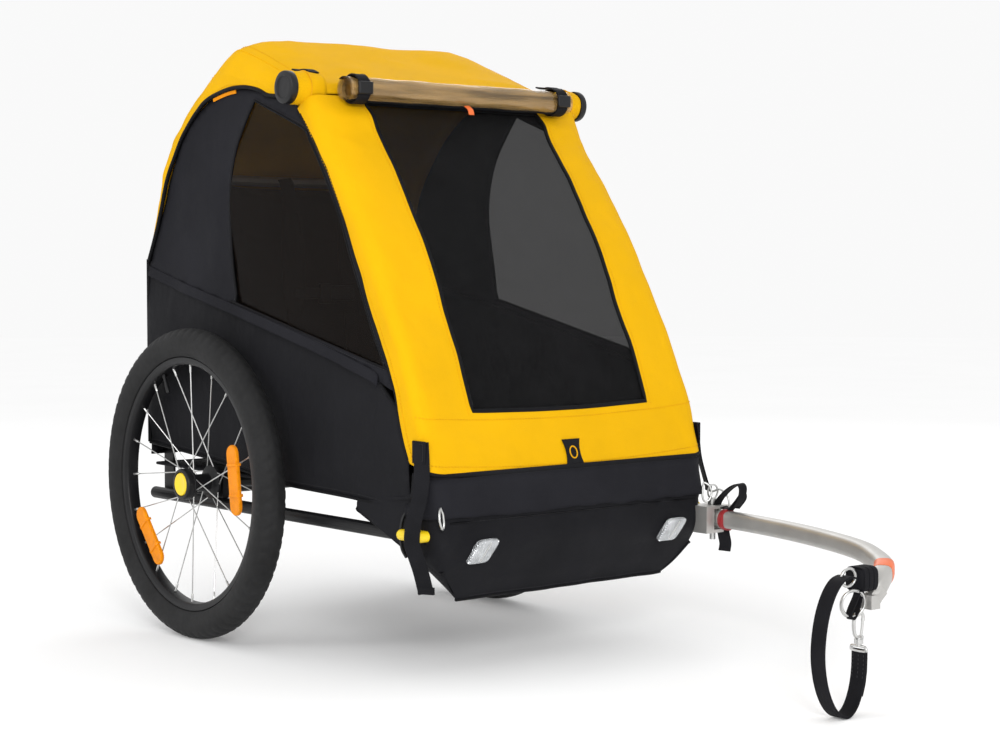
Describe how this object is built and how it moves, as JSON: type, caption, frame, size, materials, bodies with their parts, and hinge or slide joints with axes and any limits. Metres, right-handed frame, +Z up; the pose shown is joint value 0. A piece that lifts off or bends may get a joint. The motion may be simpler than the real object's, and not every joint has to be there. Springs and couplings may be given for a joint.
{
  "type": "child bicycle trailer",
  "caption": "Folding child bicycle trailer: fabric cabin with mesh front and tinted side windows on an aluminium frame, quick-release spoked wheels, curved tow arm with safety strap.",
  "frame": {"origin": "the point of the ground under the middle of the trailer's box, tow arm included", "axes": "+Z up, -Y forward along the tow arm, +X to the trailer's left"},
  "size_m": [0.661, 1.3244, 0.964],
  "materials": {
    "aluminium": "satin drawn tube",
    "black_paint": "satin black",
    "tyre": "matt",
    "steel": "bright nickel",
    "black_plastic": "fine grain",
    "yellow_plastic": "gloss",
    "amber_reflector": "prismatic",
    "silver_reflector": "prismatic",
    "red_plastic": "gloss",
    "yellow_cloth": "coated polyester, fine weave",
    "black_cloth": "coated polyester, fine weave",
    "netting": "open knitted mesh",
    "window_film": "brown tinted film",
    "clear_vinyl": "clear film, rolled",
    "webbing": "woven polyester webbing"
  },
  "bodies": {
    "frame": {"floor_rail_R": "black_paint", "floor_rail_L": "black_paint", "axle_tube": "black_paint", "rear_frame": "black_paint", "corner_bracket_R": "black_paint", "corner_bracket_L": "black_paint", "front_tube": "black_paint", "floor_pan": "black_cloth", "footwell": "black_cloth", "front_panel": "black_cloth", "front_reflector_R": "silver_reflector", "front_reflector_L": "silver_reflector", "tub_side_R": "black_cloth", "tub_side_L": "black_cloth", "side_panel_R": "black_cloth", "side_panel_L": "black_cloth", "side_window_R": "window_film", "side_window_L": "window_film", "roof": "yellow_cloth", "rear_panel": "black_cloth", "seat_base": "black_cloth", "seat_back": "black_cloth", "harness": "webbing", "tow_receiver": "aluminium"},
    "back_hoop": {"back_hoop": "aluminium"},
    "cage": {"cage_leg_R": "aluminium", "cage_leg_L": "aluminium", "crossbar": "yellow_cloth", "crossbar_cap_R": "black_plastic", "crossbar_cap_L": "black_plastic", "roof_hoop": "aluminium"},
    "front_cover": {"cover_frame": "yellow_cloth", "cover_mesh": "netting", "weather_shield_roll": "clear_vinyl", "roll_strap_R": "webbing", "roll_strap_L": "webbing"},
    "axle_R": {"axle_R": "black_plastic"},
    "wheel_R": {"tyre_R": "tyre", "rim_R": "black_paint", "spoked_hub_R": "steel", "wheel_reflector_Ra": "amber_reflector", "wheel_reflector_Rb": "amber_reflector"},
    "hub_button_R": {"hub_button_R": "yellow_plastic"},
    "corner_pin_R": {"corner_pin_R": "yellow_plastic"},
    "axle_L": {"axle_L": "black_plastic"},
    "wheel_L": {"tyre_L": "tyre", "rim_L": "black_paint", "spoked_hub_L": "steel", "wheel_reflector_La": "amber_reflector", "wheel_reflector_Lb": "amber_reflector"},
    "hub_button_L": {"hub_button_L": "yellow_plastic"},
    "corner_pin_L": {"corner_pin_L": "yellow_plastic"},
    "tow_arm": {"tow_arm": "aluminium", "tow_band": "red_plastic", "hitch_coupler": "aluminium", "strap_keeper": "webbing", "safety_strap": "webbing", "snap_hook": "steel"},
    "tow_pin": {"tow_pin": "steel"},
    "hook_gate": {"hook_gate": "steel"}
  },
  "joints": [
    {"name": "seat_back_fold", "type": "hinge", "parent": "frame", "child": "back_hoop", "pos_m": [0, 0.59818, 0.3], "axis": [1, 0, 0], "range_deg": [0, 85], "deforming": ["roof", "side_panel_R", "side_panel_L", "side_window_R", "side_window_L", "tub_side_R", "tub_side_L", "rear_panel", "seat_back", "harness"]},
    {"name": "cage_fold", "type": "hinge", "parent": "frame", "child": "cage", "pos_m": [0, -0.12782, 0.22], "axis": [1, 0, 0], "range_deg": [-41.1, 0]},
    {"name": "front_cover_open", "type": "hinge", "parent": "cage", "child": "front_cover", "pos_m": [0, 0.15918, 0.868], "axis": [1, 0, 0], "range_deg": [-88, 0]},
    {"name": "axle_pull_R", "type": "slide", "parent": "frame", "child": "axle_R", "axis": [-1, 0, 0], "range_m": [0, 0.12]},
    {"name": "wheel_spin_R", "type": "hinge", "parent": "axle_R", "child": "wheel_R", "pos_m": [-0.307, 0.41218, 0.25], "axis": [1, 0, 0], "continuous": true},
    {"name": "hub_button_press_R", "type": "slide", "parent": "axle_R", "child": "hub_button_R", "axis": [1, 0, 0], "range_m": [0, 0.004], "stiffness_N_per_m": 400},
    {"name": "corner_pin_pull_R", "type": "slide", "parent": "frame", "child": "corner_pin_R", "axis": [-1, 0, 0], "range_m": [0, 0.025]},
    {"name": "axle_pull_L", "type": "slide", "parent": "frame", "child": "axle_L", "axis": [1, 0, 0], "range_m": [0, 0.12]},
    {"name": "wheel_spin_L", "type": "hinge", "parent": "axle_L", "child": "wheel_L", "pos_m": [0.307, 0.41218, 0.25], "axis": [1, 0, 0], "continuous": true},
    {"name": "hub_button_press_L", "type": "slide", "parent": "axle_L", "child": "hub_button_L", "axis": [-1, 0, 0], "range_m": [0, 0.004], "stiffness_N_per_m": 400},
    {"name": "corner_pin_pull_L", "type": "slide", "parent": "frame", "child": "corner_pin_L", "axis": [1, 0, 0], "range_m": [0, 0.025]},
    {"name": "tow_arm_swing", "type": "hinge", "parent": "frame", "child": "tow_arm", "pos_m": [0.28, -0.17982, 0.205], "axis": [0, 0, 1], "range_deg": [0, 120]},
    {"name": "tow_pin_lift", "type": "slide", "parent": "frame", "child": "tow_pin", "axis": [0, 0, 1], "range_m": [0, 0.045]},
    {"name": "hook_gate_open", "type": "hinge", "parent": "tow_arm", "child": "hook_gate", "pos_m": [0.091, -0.63982, 0.1045], "axis": [0, 1, 0], "range_deg": [-22, 0], "stiffness_Nm_per_rad": 0.02, "springref_deg": 11.46}
  ],
  "couplings": [
    {"joint": "cage_fold", "follows": "seat_back_fold", "ratio": -0.48235}
  ]
}
